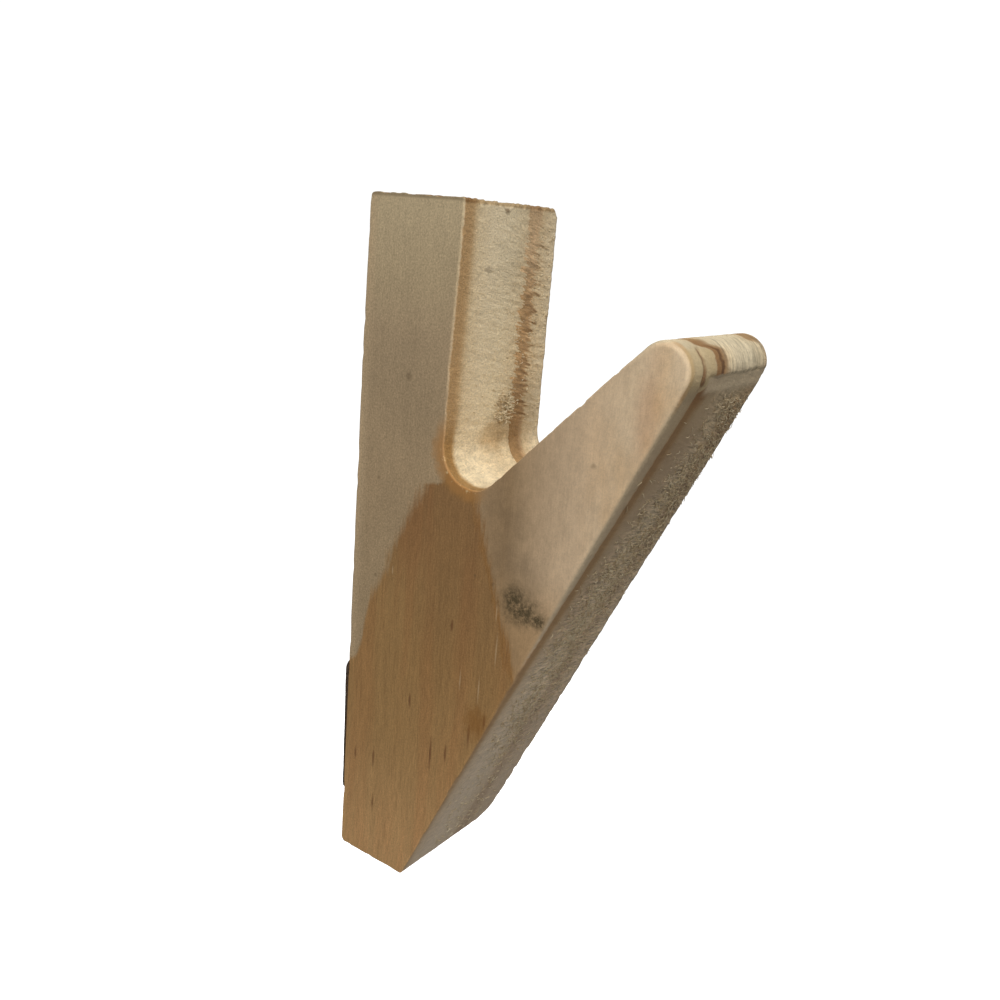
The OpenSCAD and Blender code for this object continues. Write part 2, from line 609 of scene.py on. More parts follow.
def pad_layer(name, node, bulge, unevenness, seed):
    """One layer of the pad: a thin slab whose edge bulges out in the middle and is cut a little unevenly."""
    low, high = (np.array(corner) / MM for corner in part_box(node))
    front, back = low[1], high[1]
    profile = [(front, 0.04), (front + 0.12 * (back - front), 0.0), (0.5 * (front + back), -bulge),
               (back - 0.12 * (back - front), 0.0), (back, 0.04)]
    rings = []
    base = pad_rim(0.0)
    for y, inset in profile:
        rim = pad_rim(inset)
        at = np.stack([base[:, 0], np.full(len(base), 3.0 * y), base[:, 1]], axis=-1)
        scale = 1 - unevenness * (0.5 + 0.5 * noise(at, (1.6, 1.0, 1.6), seed)) / (PAD_W / 2)
        x, z = rim[:, 0] * scale, rim[:, 1] * scale
        c, t = math.cos(PAD_TURN), math.sin(PAD_TURN)
        rings.append(np.stack([c * x + t * z, np.full(len(x), y), c * z - t * x], axis=-1))
    count = len(base)
    points = np.concatenate(rings + [[(0, front, 0)], [(0, back, 0)]]) * MM
    faces = []
    last = (len(profile) - 1) * count
    for first in range(0, last, count):
        following = first + count
        for k in range(count):
            after = (k + 1) % count
            faces.append((first + k, first + after, following + after, following + k))
    centre = len(profile) * count
    faces += [(centre, (k + 1) % count, k) for k in range(count)]
    faces += [(centre + 1, last + k, last + (k + 1) % count) for k in range(count)]
    mesh = bpy.data.meshes.new(name)
    mesh.from_pydata(points.tolist(), [], faces)
    bm = bmesh.new()
    bm.from_mesh(mesh)
    bmesh.ops.recalc_face_normals(bm, faces=bm.faces)
    bm.to_mesh(mesh)
    bm.free()
    piece = add_object(name, mesh)
    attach(piece, "root")
    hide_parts(node)
    return piece


hook = build_hook()
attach(hook, "root")
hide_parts("hook_body")
fibres = build_fibres()
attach(fibres, "root")
foam = pad_layer("foam_core", "pad_foam", 0.06, 0.16, 31)
films = [
    pad_layer("hook_side_film", "hook_side_adhesive", 0.0, 0.10, 32),
    pad_layer("wall_side_film", "wall_side_adhesive", 0.0, 0.10, 33),
]


# -------------------- materials


class Graph:
    """Short calls for building a material out of nodes. A value is a number, a colour or a node's output."""

    def __init__(self, name):
        self.material = bpy.data.materials.new(name)
        self.material.use_nodes = True
        self.tree = self.material.node_tree
        self.tree.nodes.clear()
        self.shader = self.tree.nodes.new("ShaderNodeBsdfPrincipled")
        output = self.tree.nodes.new("ShaderNodeOutputMaterial")
        self.tree.links.new(self.shader.outputs["BSDF"], output.inputs["Surface"])

    def put(self, value, socket):
        if isinstance(value, bpy.types.NodeSocket):
            self.tree.links.new(value, socket)
        else:
            socket.default_value = value

    def set(self, name, value):
        """Sets one input of the shader."""
        self.put(value, self.shader.inputs[name])

    def place(self):
        """The shaded point in the row frame, in millimetres."""
        return self.scaled(self.node("TexCoord", {}).outputs["Object"], (1 / MM, 1 / MM, 1 / MM))

    def node(self, kind, inputs, **settings):
        node = self.tree.nodes.new("ShaderNode" + kind)
        for name, value in settings.items():
            setattr(node, name, value)
        for name, value in inputs.items():
            self.put(value, node.inputs[name])
        return node

    def split(self, vector):
        return self.node("SeparateXYZ", {0: vector}).outputs

    def join(self, x, y, z):
        return self.node("CombineXYZ", {0: x, 1: y, 2: z}).outputs[0]

    def scaled(self, vector, factor):
        return self.node("VectorMath", {0: vector, 1: factor}, operation="MULTIPLY").outputs[0]

    def math(self, operation, *values, clamp=False):
        return self.node("Math", dict(enumerate(values)), operation=operation, use_clamp=clamp).outputs[0]

    def add(self, a, b):
        return self.math("ADD", a, b)

    def sub(self, a, b):
        return self.math("SUBTRACT", a, b)

    def mul(self, a, b):
        return self.math("MULTIPLY", a, b)

    def length(self, a, b):
        return self.math("SQRT", self.add(self.mul(a, a), self.mul(b, b)))

    def all_of(self, *masks):
        """The product of the masks, which is 1 only where they all are."""
        return functools.reduce(self.mul, masks)

    def strongest(self, masks):
        return functools.reduce(lambda a, b: self.math("MAXIMUM", a, b), masks)

    def step(self, low, high, value):
        """0 at low and 1 at high, smooth between. low may be the larger number."""
        flip = low > high
        inputs = {"Value": value, "From Min": min(low, high), "From Max": max(low, high)}
        inputs.update({"To Min": float(flip), "To Max": float(not flip)})
        return self.node("MapRange", inputs, interpolation_type="SMOOTHSTEP").outputs["Result"]

    def noise(self, vector, scale, detail=2.0, rough=0.5, distortion=0.0):
        """Noise from 0 to 1. scale is one number, or one for each axis."""
        if isinstance(scale, tuple):
            vector, scale = self.scaled(vector, scale), 1.0
        inputs = {"Vector": vector, "Scale": scale, "Detail": detail}
        inputs.update({"Roughness": rough, "Distortion": distortion})
        return self.node("TexNoise", inputs).outputs["Fac"]

    def sway(self, amount, vector, scale, detail=2.0, rough=0.5):
        """Noise that swings round 0."""
        return self.mul(self.sub(self.noise(vector, scale, detail, rough), 0.5), amount)

    def spots(self, vector, scale):
        """Distance to the nearest spot, and a random number for each spot."""
        node = self.node("TexVoronoi", {"Vector": vector, "Scale": scale})
        return node.outputs["Distance"], self.node("SeparateColor", {0: node.outputs["Color"]}).outputs[0]

    def ramp(self, value, stops):
        """Display colours at places from 0 to 1."""
        node = self.node("ValToRGB", {"Fac": value})
        elements = node.color_ramp.elements
        while len(elements) > 1:
            elements.remove(elements[-1])
        elements[0].position, elements[0].color = stops[0][0], colour(stops[0][1])
        for position, rgb in stops[1:]:
            elements.new(position).color = colour(rgb)
        return node.outputs["Color"]

    def mix(self, factor, a, b, blend="MIX"):
        inputs = {"Factor": factor, "A": a, "B": b}
        return self.node("Mix", inputs, data_type="RGBA", blend_type=blend).outputs["Result"]

    def multiply(self, a, b):
        return self.mix(1.0, a, b, "MULTIPLY")

    def shade(self, base, factor):
        """The base made brighter or darker by a factor near 1."""
        return self.node("VectorMath", {0: base, "Scale": factor}, operation="SCALE").outputs[0]

    def vary(self, base, value, amount, *masks, middle=0.5):
        """The base made brighter and darker, within the masks, as value swings round its middle."""
        return self.shade(base, self.add(1.0, self.all_of(self.sub(value, middle), *masks, amount)))

    def tint(self, base, rgb, amount, *masks):
        """The base drawn part of the way to a display colour, within the masks."""
        return self.mix(self.all_of(*masks, amount), base, colour(rgb))

    def stain(self, base, rgb, amount, *masks):
        """The same, to the base multiplied by a display colour."""
        return self.mix(self.all_of(*masks, amount), base, self.multiply(base, colour(rgb)))

    def darken(self, base, factor, amount, *masks):
        """The same, to the base multiplied by a factor."""
        return self.mix(self.all_of(*masks, amount), base, self.shade(base, factor))

    def bump(self, height, distance, strength):
        node = self.node("Bump", {"Height": height, "Distance": distance, "Strength": strength})
        self.set("Normal", node.outputs["Normal"])


def linear(c):
    return c / 12.92 if c <= 0.04045 else ((c + 0.055) / 1.055) ** 2.4


def colour(rgb):
    """A display colour, 0 to 255 in each channel, as the linear colour that a shader takes."""
    return (*(linear(c / 255) for c in rgb), 1.0)


# The direction that the underside faces, as (out, up), and how far in from it the underside's colouring
# reaches.
UNDERSIDE_FACING = (0.91, -0.4136)
UNDERSIDE_SKIN = (-1.2, -0.5)


class WoodPlace:
    """Where a shaded point lies in the hook, in millimetres, and what the wood does there."""

    def __init__(self, g):
        self.g = g
        self.p = g.place()
        x, y, z = g.split(self.p)
        self.depth = g.sub(x, SIDE_X)
        self.out = g.sub(BACK_Y, y)
        self.up = g.sub(z, FOOT_Z)
        self.rise = g.mul(self.up, 1 / HOOK_H)
        self.find_parts(g)
        self.find_rings(g)
        self.find_grain(g)
        self.find_bands(g)

    def find_parts(self, g):
        """The distances from the notch's rounding and ahead of the tip's centre, and masks for the faces."""
        from_centre = g.length(g.sub(self.out, NOTCH_CENTRE[0]), g.sub(self.up, NOTCH_CENTRE[1]))
        self.from_notch = g.sub(from_centre, NOTCH_R)
        ahead_out = g.mul(g.sub(self.out, TIP_CENTRE[0]), TIP_FACING[0])
        ahead_up = g.mul(g.sub(self.up, TIP_CENTRE[1]), TIP_FACING[1])
        self.ahead = g.add(ahead_out, ahead_up)
        self.tip_front = g.step(*TIP_FRONT, self.ahead)
        self.on_leg = g.all_of(
            g.step(66.0, 71.0, self.up),
            g.step(LEG_DEPTH + 9.0, LEG_DEPTH + 7.0, self.out),
            g.step(LEG_DEPTH - 4.0, LEG_DEPTH - 2.5, self.out),
        )
        torn_up = g.all_of(g.step(*TORN_UP, self.up), g.step(HOOK_H, HOOK_H - 6.0, self.up))
        self.torn = g.all_of(self.on_leg, g.step(*TORN_DEPTH, self.depth), torn_up)
        facing_out, facing_up = UNDERSIDE_FACING
        outwards = g.add(g.mul(self.out, facing_out), g.mul(self.up, facing_up))
        surface = FOOT_DEPTH * facing_out
        self.on_underside = g.step(surface + UNDERSIDE_SKIN[0], surface + UNDERSIDE_SKIN[1], outwards)

    def find_rings(self, g):
        """boundary is the depth of the near ring boundary, and ring is how far beyond it the point lies."""
        across = g.sub(self.out, g.add(PATCH_OUT, g.mul(self.up, PATCH_LEAN)))
        half = g.sub(PATCH_HALF, g.mul(self.up, PATCH_TAPER))
        hill = g.math("SQRT", g.add(g.mul(across, across), PATCH_ROUND**2))
        hill = g.mul(g.sub(hill, half), RING_SLOPE)
        inside = g.math("MAXIMUM", g.mul(hill, -1.0), 0.0)
        outside = g.math("MAXIMUM", hill, 0.0)
        boundary = g.math("DIVIDE", hill, g.add(1.0, g.mul(inside, 1 / PATCH_LEVEL)))
        near_leg = g.step(24.0, 19.0, self.out)
        self.boundary = g.math("DIVIDE", boundary, g.add(1.0, g.all_of(outside, near_leg, 1 / LEG_LEVEL)))
        wander = g.sway(0.7, self.p, (0.3, 0.3, 0.021), 3.0)
        self.ring = g.add(g.sub(self.depth, self.boundary), wander)

    def find_grain(self, g):
        """The side faces' grain, in lines that bend a little, and the sawn faces' slanted hatching."""
        bend = g.mul(g.noise(self.p, (0.125, 0.125, 0.0625), 2.0), 3.0)
        bent = g.join(self.depth, g.add(self.out, bend), g.mul(self.up, 0.07))
        self.grain = g.noise(bent, 0.85, 5.0, 0.68)
        self.hair = g.noise(bent, (4.2, 4.2, 6.72), 3.0, 0.6)
        self.broad = g.noise(bent, (0.26, 0.26, 0.312), 2.0, 0.5)
        self.clouds = g.noise(self.p, (0.13, 0.13, 0.078), 3.0, 0.55)
        self.grit = g.noise(self.p, 3.2, 3.0, 0.75)
        slanted_up = g.add(self.up, g.mul(self.depth, LEG_DRAG))
        self.hatch_at = g.join(g.mul(self.depth, 0.32), g.mul(self.out, 0.5), g.mul(slanted_up, 1.35))
        self.hatch = g.noise(self.hatch_at, 1.15, 3.0, 0.6)
        self.teeth = g.noise(self.hatch_at, (1.25, 1.25, 1.875), 1.0, 0.4)

    def find_bands(self, g):
        """The ring with ragged edges, which interlock where the wood is torn and step back at the tip."""
        comb = g.add(g.mul(g.sub(self.hatch, 0.5), 0.7), g.all_of(self.torn, g.sub(self.teeth, 0.5), 5.5))
        self.band = g.sub(g.add(self.ring, comb), g.mul(self.tip_front, 3.0))
        self.turns = g.mul(self.band, 1 / RING_WIDTH)
        self.phase = g.math("FRACT", g.add(self.turns, 1.0))
        self.is_far = g.step(0.985, 1.0, self.turns)

    def from_spot(self, sideways, across, upwards, rough, scale):
        """The distance from a ragged spot's middle, 1 near its edge. Each way is (middle, half size)."""
        g = self.g
        a = g.mul(g.sub(sideways, across[0]), 1 / across[1])
        b = g.mul(g.sub(self.up, upwards[0]), 1 / upwards[1])
        return g.add(g.length(a, b), g.sway(rough, self.p, scale, 3.0, 0.6))

    def spot(self, out, up, half_out, half_up, rough, scale):
        """A soft-edged spot on the left side face, 1 inside and 0 outside."""
        reach = self.from_spot(self.out, (out, half_out), (up, half_up), rough, scale)
        return self.g.step(1.2, 0.2, reach)

    def face_spot(self, depth, up, half_depth, half_up, rough, scale):
        """A spot on the leg's inner face."""
        reach = self.from_spot(self.depth, (depth, half_depth), (up, half_up), rough, scale)
        return self.g.mul(self.g.step(1.05, 0.35, reach), self.on_leg)


# Marks on the left side face: (out, up, half length), (out, up, radius) or (out, up, half out, half up).
RESIN_STREAKS = [(2.4, 18.4, 1.4), (6.5, 19.3, 2.2), (18.5, 24.9, 3.5), (21.5, 26.0, 2.2), (25.7, 30.7, 2.2),
                 (28.4, 34.2, 1.6), (6.8, 10.8, 1.8), (13.6, 32.3, 1.6), (21.0, 47.6, 1.2)]
SCRATCHES = [(23.3, 39.4, 1.8), (26.9, 38.9, 2.4), (29.5, 46.2, 3.0), (8.5, 53.1, 0.9), (29.0, 52.2, 1.6)]
SPECKS = [(9.6, 84.0, 0.75), (42.4, 77.1, 0.5), (4.6, 67.4, 0.4), (4.9, 51.4, 0.4), (24.6, 56.7, 0.35),
          (27.8, 56.3, 0.4)]
SMUDGES = [(31.9, 55.1, 2.6, 2.8), (33.2, 53.7, 4.2, 3.0), (36.1, 53.0, 2.2, 1.7)]


def pale_face(g, w):
    """Pale wood: grey-brown on the leg and lighter along the arm towards the tip, partly the wood's own tone
    and partly painted light, with a warm blush towards the tip and low on the arm.
    """
    leg = g.ramp(w.rise, [
        (0.0, (190, 165, 128)), (0.6, (190, 163, 126)), (0.82, (190, 165, 130)),
        (0.9, (201, 178, 140)), (0.98, (212, 190, 151))
    ])
    # The arm is drawn lighter than the leg towards the tip: partly its own tone, partly painted light on the
    # brighter-lit arm.
    arm = g.ramp(g.mul(w.out, 1 / ARM_REACH), [
        (0.44, (180, 149, 112)), (0.54, (183, 151, 112)),
        (0.66, (217, 187, 150)), (0.76, (238, 208, 170)),
        (0.88, (246, 218, 179))
    ])
    pale = g.mix(g.step(21.0, 27.0, w.out), leg, arm)
    pale = g.tint(pale, (212, 184, 145), 0.75, g.step(2.6, 0.4, w.out))
    pale = g.tint(pale, (192, 154, 108), 0.75, g.step(62.0, 49.0, w.up), g.step(27.0, 31.0, w.out))
    pale = g.tint(pale, (222, 178, 140), 0.5, w.spot(49.3, 85.0, 2.4, 9.0, 0.8, 0.3))
    blush = g.noise(w.p, (0.16, 0.16, 0.064), 2.0)
    pale = g.tint(pale, (236, 190, 134), 0.5, g.step(0.40, 0.72, blush), g.step(38, 48, w.out))
    blotches = g.noise(w.p, (0.5, 0.5, 0.275), 4.0, 0.6)
    pale = g.vary(pale, blotches, 0.34, g.step(22.0, 27.0, w.out))
    mottle = g.noise(w.p, 1.1, 4.0, 0.6)
    gritty = g.add(0.44, g.mul(g.step(28.0, 21.0, w.out), 0.85))
    for value, amount in ((w.clouds, 0.36), (w.grain, 0.14), (w.hair, 0.26), (mottle, 0.30)):
        pale = g.vary(pale, value, amount)
    return g.vary(pale, w.grit, gritty)


def patch_level(g, w):
    """Above 0 inside the patch. Its edge has long teeth along the grain, and is square below the notch."""
    teeth = g.sway(0.42, w.p, (0.6, 0.6, 0.12), 3.0, 0.6)
    fine = g.sway(0.20, w.p, (2.6, 2.6, 0.39), 3.0, 0.6)
    square = g.all_of(g.step(68.2, 69.6, w.up), g.step(19.5, 16.5, w.out), 0.30)
    back_strip = g.all_of(g.step(4.2, 0.6, w.out), g.step(32.0, 40.0, w.up), 0.65)
    return g.sub(g.add(teeth, fine), g.add(w.boundary, g.add(square, back_strip)))


def brown_patch(g, w, level):
    """Flat grain at the ring boundary: lighter towards the foot, and amber at the notch and its edge."""
    patch = g.ramp(w.rise, [
        (0.03, (224, 177, 120)), (0.15, (207, 163, 108)), (0.25, (195, 152, 98)),
        (0.36, (183, 141, 89)), (0.46, (173, 133, 85)), (0.6, (166, 126, 81))
    ])
    near_back = g.all_of(g.step(18, 10, w.out), g.step(62, 48, w.up), g.step(14, 26, w.up))
    patch = g.tint(patch, (192, 151, 97), 0.55, near_back)
    patch = g.tint(patch, (178, 130, 66), 0.7, g.step(2.6, 0.2, w.from_notch))
    edge_line = g.all_of(g.step(-0.02, 0.02, level), g.step(0.16, 0.06, level), g.step(20, 27, w.out))
    patch = g.tint(patch, (172, 122, 64), 0.5, edge_line)
    patch = g.stain(patch, (242, 226, 222), 0.5, g.step(0.42, 0.68, w.broad))
    for value, amount in ((w.broad, 0.30), (w.grain, 0.50), (w.hair, 0.66), (w.grit, 0.85)):
        patch = g.vary(patch, value, amount)
    dashes = g.noise(w.p, (1.9, 1.9, 0.152), 3.0, 0.6)
    return g.tint(patch, (118, 82, 48), 0.16, g.step(0.57, 0.66, dashes), g.step(60, 42, w.up))


def side_marks(g, w, face):
    """The golden rim of the notch, dust, resin streaks, scratches, specks, painted glints on the notch's rim,
    the dark smudge and a thin dark line along the top.
    """
    rim = g.add(w.from_notch, g.sway(1.8, w.p, 0.9, 3.0, 0.6))
    golden = g.all_of(g.step(2.7, 0.7, rim), g.step(81.0, 75.0, w.up), g.step(26.5, 22.5, w.out))
    gold = g.multiply(colour((208, 154, 92)), g.mix(0.8, face, colour((255, 255, 255))))
    face = g.mix(g.mul(golden, 0.78), face, gold)
    face = g.darken(face, 0.68, 0.58, w.spot(30.2, 63.0, 4.2, 10.0, 1.6, 0.45))
    face = g.darken(face, 0.68, 0.55, w.spot(34.4, 58.8, 2.8, 4.8, 1.2, 0.6))

    streaks = [w.spot(out, up, 0.30, half, 0.7, 1.4) for out, up, half in RESIN_STREAKS]
    face = g.tint(face, (120, 78, 48), 0.66, g.strongest(streaks))
    face = g.tint(face, (162, 108, 46), 0.60, w.spot(26.8, 33.4, 2.6, 3.4, 0.9, 0.8))
    scratches = [w.spot(out, up, 0.16, half, 0.8, 2.5) for out, up, half in SCRATCHES]
    face = g.tint(face, (232, 200, 156), 0.5, g.strongest(scratches))
    for out, up, radius in SPECKS:
        face = g.tint(face, (110, 88, 62), 0.35, w.spot(out, up, radius, radius, 0.6, 2.5))
    # Painted highlights: glints along the notch's near rim, put into the colour.
    glint = g.all_of(g.step(0.9, 0.35, w.from_notch), g.step(0.60, 0.68, g.noise(w.p, 1.5, 2.0, 0.6)),
                     g.step(75.0, 73.0, w.up), g.step(24.5, 23.0, w.out))
    face = g.tint(face, (238, 206, 150), 0.75, glint)
    smudges = [w.spot(*smudge, 0.9, 0.8) for smudge in SMUDGES]
    speckled = g.math("MULTIPLY_ADD", g.noise(w.p, 1.9, 3.0, 0.75), 3.2, -0.78, clamp=True)
    face = g.tint(face, (88, 76, 50), 0.92, g.strongest(smudges), speckled)
    # A thin dark line along the top edge, a little uneven.
    dark_top_line = g.step(HOOK_H - 0.75, HOOK_H - 0.35, g.add(w.up, g.mul(g.sub(w.grit, 0.5), 0.6)))
    return g.tint(face, (118, 98, 70), 0.5, dark_top_line)


def plain_face(g, w):
    """The right side face: plain pale wood."""
    plain = colour((212, 190, 152))[:3]
    for value, amount in ((w.clouds, 0.4), (w.grain, 0.42), (w.hair, 0.34), (w.grit, 0.4)):
        plain = g.vary(plain, value, amount)
    return plain


def side_face_colour(g, w):
    level = patch_level(g, w)
    left = g.mix(g.step(-0.13, 0.09, level), pale_face(g, w), brown_patch(g, w, level))
    return g.mix(g.step(BOARD_T - 1.0, BOARD_T - 0.5, w.depth), side_marks(g, w, left), plain_face(g, w))


def ring_bands(g, w):
    """Each ring boundary as a brown band that fades into pale wood, darker and warmer in the notch."""
    wood = g.ramp(w.phase, [
        (0.0, (200, 166, 124)), (0.01, (182, 148, 104)), (0.085, (184, 150, 105)),
        (0.13, (194, 162, 118)), (0.175, (210, 185, 144)), (0.235, (224, 203, 165)),
        (0.42, (230, 212, 177)), (0.7, (229, 212, 177)), (0.95, (220, 200, 163)),
        (0.988, (212, 190, 152)), (1.0, (200, 166, 124))
    ])
    far = g.ramp(w.phase, [
        (0.0, (200, 166, 124)), (0.01, (176, 143, 102)), (0.16, (174, 140, 100)),
        (0.2, (196, 165, 124)), (0.24, (216, 192, 152)), (0.42, (226, 206, 170))
    ])
    wood = g.mix(w.is_far, wood, g.tint(far, (226, 206, 170), 0.5, w.tip_front))
    high = g.all_of(w.is_far, w.on_leg, g.step(94.0, 104.0, w.up), g.step(0.26, 0.18, w.phase))
    wood = g.tint(wood, (212, 184, 146), 0.55, high)
    wood = g.vary(wood, w.teeth, 1.6, w.is_far, w.torn, g.step(0.24, 0.18, w.phase), middle=0.45)
    low_band = g.all_of(g.step(0.20, 0.10, w.phase), w.on_leg, g.step(84.0, 73.0, w.up))
    wood = g.tint(wood, (150, 114, 66), 0.4, low_band)
    notch = g.ramp(w.phase, [
        (0.0, (158, 120, 70)), (0.105, (166, 128, 76)), (0.135, (204, 176, 132)),
        (0.165, (232, 213, 176)), (0.4, (232, 214, 179)), (1.0, (214, 190, 150))
    ])
    return g.mix(g.all_of(w.on_leg, g.step(79.0, 73.5, w.up), g.step(0.95, 0.80, w.turns)), wood, notch)


def leg_marks(g, w, wood):
    """On the leg's inner face: fine tooth, a grey cloud, a stain, a speckled notch, and two darker smears low
    in the hollow by the fuzz, partly grime and partly painted shade.
    """
    fine = g.noise(w.p, (2.56, 3.2, 3.84), 3.0, 0.7)
    wood = g.vary(wood, fine, 0.95, w.on_leg)
    wood = g.darken(wood, 0.76, 0.30, w.face_spot(13.2, 100.5, 4.6, 5.5, 1.2, 0.6))
    # Painted shade with some grime, low on the far side of the hollow by the fuzz.
    wood = g.darken(wood, 0.66, 0.75, w.face_spot(18.5, 78.0, 9.0, 7.5, 0.6, 0.35))
    wood = g.tint(wood, (120, 104, 84), 0.45, w.face_spot(7.4, 100.2, 1.3, 0.6, 0.9, 1.6))
    # Painted shade with some grime, low in the hollow at the notch.
    wood = g.stain(wood, (206, 186, 156), 0.55, w.face_spot(12.6, 75.2, 5.2, 3.2, 0.9, 0.5))
    in_notch = g.all_of(w.on_leg, g.step(77.0, 73.0, w.up))
    speckle = g.noise(w.p, (0.85, 1.7, 1.7), 3.0, 0.7)
    wood = g.tint(wood, (158, 130, 86), 0.26, in_notch, g.step(0.56, 0.64, speckle))
    mottle = g.noise(w.p, (0.56, 0.8, 0.8), 3.0, 0.6)
    return g.vary(wood, mottle, 0.9, in_notch)


def underside_marks(g, w, wood):
    """On the underside: greyed, lighter near the foot as painted light bounced up from below and darker under
    the arm as painted shade, olive brown under the arm, mottled in the fuzz, and painted shade along the far
    edge.
    """
    under = g.all_of(w.on_underside, g.step(92.0, 88.5, w.up))
    # The underside is greyed, least near the foot and most under the arm: partly the wood's grey, partly
    # painted bounced light near the foot and painted shade under the arm.
    grey_and_painted_light = g.ramp(w.rise, [
        (0.02, (243, 239, 247)), (0.25, (242, 238, 245)), (0.42, (244, 240, 244)),
        (0.58, (227, 223, 224)), (0.72, (217, 209, 206)), (0.82, (220, 212, 203))
    ])
    wood = g.tint(wood, (214, 194, 160), 0.7, under, g.step(15.0, 17.0, w.band))
    between_bands = g.all_of(under, g.step(14.0, 6.0, w.band), g.step(1.5, 3.5, w.band))
    wood = g.tint(wood, (190, 162, 126), 0.50, between_bands, g.step(38, 52, w.up), g.step(93, 80, w.up))
    wood = g.mix(under, wood, g.multiply(wood, grey_and_painted_light))
    fuzz = g.noise(w.hatch_at, (1.045, 1.52, 1.9), 2.0, 0.6, 0.9)
    start = g.add(FUZZ_START, g.mul(g.step(*FUZZ_RISE, w.up), FUZZ_DRIFT))
    fuzzy = g.all_of(under, g.step(-1.5, 5.5, g.sub(w.depth, start)), g.step(4, 48, w.up))
    wood = g.vary(wood, fuzz, 2.4, fuzzy, middle=0.48)
    low = g.all_of(under, g.step(46.0, 30.0, w.up), g.step(1.0, 3.0, w.depth))
    wood = g.vary(wood, g.noise(w.p, 1.7, 3.0, 0.7), 0.62, low)
    # Painted shade: a dark strip along the far edge of the underside, whose rounding turns away from the
    # light.
    return g.tint(wood, (96, 78, 54), 0.45, under, g.step(23.6, 24.7, w.depth), g.step(18, 30, w.up))


def tip_marks(g, w, wood):
    """The frayed tip: a dark split in a cream rim, streaks round the curve, and a lighter grey facet under
    it, whose brightness is painted light.
    """
    tip_end = g.step(0.1 * TIP_R, 0.6 * TIP_R, w.ahead)
    uneven = g.add(w.band, g.sway(1.6, w.p, (0.24, 0.8, 0.8), 2.0))
    split_band = g.all_of(tip_end, g.step(-0.5, 0.1, uneven), g.step(4.6, 2.4, uneven))
    wood = g.tint(wood, (150, 106, 64), 0.62, split_band)
    crack = g.step(0.75, 0.15, g.math("ABSOLUTE", g.sub(uneven, 1.7)))
    wood = g.tint(wood, (98, 66, 42), 0.7, w.tip_front, crack)
    wood = g.tint(wood, (204, 160, 110), 0.7, tip_end, g.step(1.5, 0.4, w.depth))
    wood = g.tint(wood, (206, 178, 128), 0.60, w.tip_front, g.step(8.2, 6.8, w.depth), g.sub(1.0, split_band))
    wave = g.sway(1.6, w.p, (0.0225, 0.45, 0.45), 2.0)
    from_split = g.math("ABSOLUTE", g.sub(g.sub(w.depth, TIP_SPLIT_DEPTH), wave))
    wood = g.tint(wood, (128, 90, 56), 0.85, w.tip_front, g.step(0.80, 0.10, from_split))
    curve = g.step(0.2 * TIP_R, 0.7 * TIP_R, w.ahead)
    streaks = g.noise(w.p, (0.95, 0.209, 0.209), 3.0, 0.7)
    wood = g.vary(wood, streaks, 2.1, curve, g.step(8.0, 11.0, w.depth), middle=0.47)
    wood = g.shade(wood, g.sub(1.0, g.mul(curve, 0.18)))
    # The facet under the crease is drawn lighter: painted light on a face that turns down from the tip.
    height = g.add(w.up, g.sway(1.2, w.p, (0.33, 0.0066, 0.0066), 2.0))
    below = g.step(TIP_CREASE + 0.18, TIP_CREASE - 0.18, height)
    above = g.step(TIP_CREASE - 3.0, TIP_CREASE - 1.8, height)
    painted_lit_facet = g.all_of(w.on_underside, g.step(38.0, 42.0, w.out), g.step(5.0, 7.0, w.depth), below, above)
    return g.tint(wood, (200, 180, 148), 0.85, painted_lit_facet)


def end_grain(g, w, wood):
    """The sawn-off top and foot, and the dark notch in the top."""
    ends = g.math("MAXIMUM", g.step(HOOK_H - 0.95, HOOK_H - 0.5, w.up), g.step(0.35, 0.05, w.up))
    porous = g.vary(wood, g.noise(w.p, 5.0, 2.0, 0.7), 0.6)
    wood = g.mix(g.mul(ends, 0.85), wood, g.multiply(porous, colour((186, 168, 144))))
    # The notch in the top is painted dark: painted shade inside the dent.
    notch = w.face_spot(TOP_NOTCH_DEPTH, HOOK_H - 1.0, 1.1, 0.9, 0.3, 1.6)
    return g.tint(wood, (112, 90, 62), 0.85, notch)


def sawn_colour(g, w):
    """The faces that the saw cut, which is all but the two side faces."""
    wood = ring_bands(g, w)
    for add_marks in (leg_marks, underside_marks, tip_marks, end_grain):
        wood = add_marks(g, w, wood)
    wood = g.vary(wood, w.hatch, 0.26, middle=0.48)
    return g.vary(wood, g.noise(w.p, 2.6, 4.0, 0.65), 0.34, middle=0.47)


# How far round the long edges the colour of a side face reaches.
SIDE_EDGE = 0.45


def pine_material():
    g = Graph("raw_pine")
    w = WoodPlace(g)
    near_side, far_side = g.step(SIDE_EDGE, 0.0, w.depth), g.step(BOARD_T - SIDE_EDGE, BOARD_T, w.depth)
    on_side = g.math("MAXIMUM", near_side, far_side)
    g.set("Base Color", g.mix(on_side, sawn_colour(g, w), side_face_colour(g, w)))
    g.set("Roughness", g.math("MULTIPLY_ADD", on_side, -0.10, 0.80))
    g.set("Specular IOR Level", 0.3)
    rough = g.add(g.mul(w.hatch, 0.55), g.mul(g.noise(w.p, 3.4, 4.0, 0.7), 0.9))
    smooth = g.add(g.mul(w.grain, 0.30), g.mul(g.noise(w.p, 6.0, 2.0), 0.12))
    g.bump(g.add(g.mul(rough, g.sub(1.0, on_side)), g.mul(smooth, on_side)), 0.22 * MM, 0.9)
    return g.material


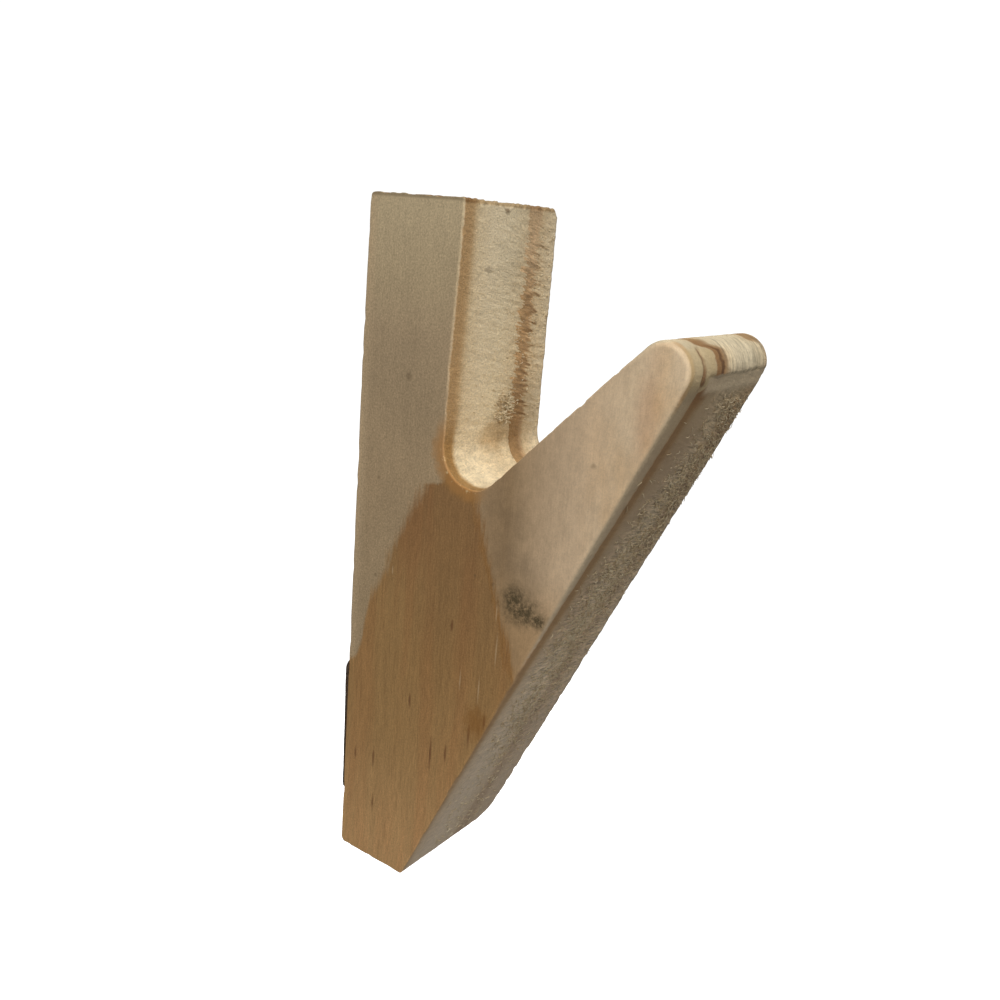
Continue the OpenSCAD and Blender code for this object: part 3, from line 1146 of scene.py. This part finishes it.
def fibre_material():
    """Loose fibres: the pale wood, a little lighter, and greyer under the arm."""
    g = Graph("pale_fibre")
    p = g.place()
    mottle = g.noise(p, 0.9, 3.0, 0.6)
    tone = g.ramp(mottle, [(0.3, (206, 180, 142)), (0.5, (230, 212, 176)), (0.7, (246, 234, 206))])
    out = g.sub(BACK_Y, g.split(p)[1])
    g.set("Base Color", g.stain(tone, (240, 237, 232), 1.0, g.step(LEG_DEPTH + 2.0, LEG_DEPTH + 6.0, out)))
    g.set("Roughness", 0.7)
    g.set("Specular IOR Level", 0.2)
    return g.material


def foam_material():
    """Dark closed-cell foam, with its cells cut open along the edge."""
    g = Graph("dark_foam")
    p = g.place()
    cell, shade = g.spots(p, 3.2)
    tone = g.ramp(shade, [(0.0, (84, 68, 53)), (0.5, (102, 83, 66)), (1.0, (120, 99, 79))])
    g.set("Base Color", g.tint(tone, (118, 100, 80), 0.4, g.step(0.58, 0.75, g.noise(p, 0.6, 4.0, 0.65))))
    g.set("Roughness", 0.88)
    g.set("Specular IOR Level", 0.25)
    g.bump(g.sub(1.0, cell), 0.12 * MM, 0.9)
    return g.material


def film_material():
    """The tacky film on each side of the foam: dark, smooth and faintly mottled, with lint stuck to it."""
    g = Graph("tacky_film")
    p = g.place()
    tone = g.ramp(g.noise(p, 0.35, 4.0, 0.6), [(0.35, (74, 65, 55)), (0.65, (98, 88, 76))])
    lint = g.step(0.66, 0.76, g.noise(p, (1.6, 1.6, 0.4), 3.0, 0.7))
    g.set("Base Color", g.tint(tone, (170, 158, 140), 0.5, lint))
    g.set("Roughness", g.math("MULTIPLY_ADD", lint, 0.35, 0.34))
    g.bump(g.noise(p, 1.1, 3.0, 0.6), 0.08 * MM, 0.6)
    return g.material


hook.data.materials.append(pine_material())
fibres.data.materials.append(fibre_material())
foam.data.materials.append(foam_material())
tacky = film_material()
for film in films:
    film.data.materials.append(tacky)

# -------------------- stage, light and camera


def stage_floor():
    bpy.ops.mesh.primitive_plane_add(size=6.0, location=(0, 0, FOOT_Z * MM - 0.16))
    floor = bpy.context.object
    floor.name = "floor"
    floor.visible_diffuse = False
    floor.visible_glossy = False
    g = Graph("pale_floor")
    g.shader.inputs["Base Color"].default_value = (0.9, 0.9, 0.9, 1)
    g.shader.inputs["Roughness"].default_value = 0.9
    g.shader.inputs["Emission Color"].default_value = (1, 1, 1, 1)
    g.shader.inputs["Emission Strength"].default_value = 1.0
    floor.data.materials.append(g.material)


def pale_world(strength):
    """White behind the object for the camera, and a dim even light on it."""
    world = bpy.data.worlds.new("studio")
    bpy.context.scene.world = world
    world.use_nodes = True
    tree = world.node_tree
    background = tree.nodes["Background"]
    background.inputs["Color"].default_value = (1, 1, 1, 1)
    seen = tree.nodes.new("ShaderNodeLightPath").outputs["Is Camera Ray"]
    level = tree.nodes.new("ShaderNodeMix")
    tree.links.new(seen, level.inputs["Factor"])
    level.inputs["A"].default_value = strength
    level.inputs["B"].default_value = 1.05
    tree.links.new(level.outputs["Result"], background.inputs["Strength"])


def aim(item, place, target, roll=0.0):
    """Puts an object at a place, facing a target."""
    item.location = place
    item.rotation_mode = "QUATERNION"
    facing = (Vector(target) - Vector(place)).to_track_quat("-Z", "Y")
    item.rotation_quaternion = facing @ Quaternion((0, 0, 1), roll)


def area_light(name, place, target, size, power):
    lamp = bpy.data.lights.new(name, "AREA")
    lamp.shape = "SQUARE"
    lamp.size = size
    lamp.energy = power
    aim(add_object(name, lamp), place, target)


def photo_camera():
    camera = bpy.data.cameras.new("camera")
    camera.lens = 35.02
    camera.sensor_width = 36.0
    camera.clip_start = 0.005
    holder = add_object("camera", camera)
    aim(holder, (-0.1219, -0.1050, 0.0842), (-0.0033, -0.0225, 0.0440), math.radians(4.86))
    bpy.context.scene.camera = holder


stage_floor()
pale_world(0.15)
area_light("key", (-0.185, -0.235, 0.44), (0, -0.02, 0.03), 0.28, 2.25)
area_light("bounce", (-0.05, -0.20, -0.17), (0, -0.02, 0.0), 0.16, 0.16)
area_light("fill", (0.30, 0.26, 0.02), (0, -0.02, 0.03), 0.25, 1.1)
photo_camera()
bpy.context.scene.view_settings.view_transform = "Standard"
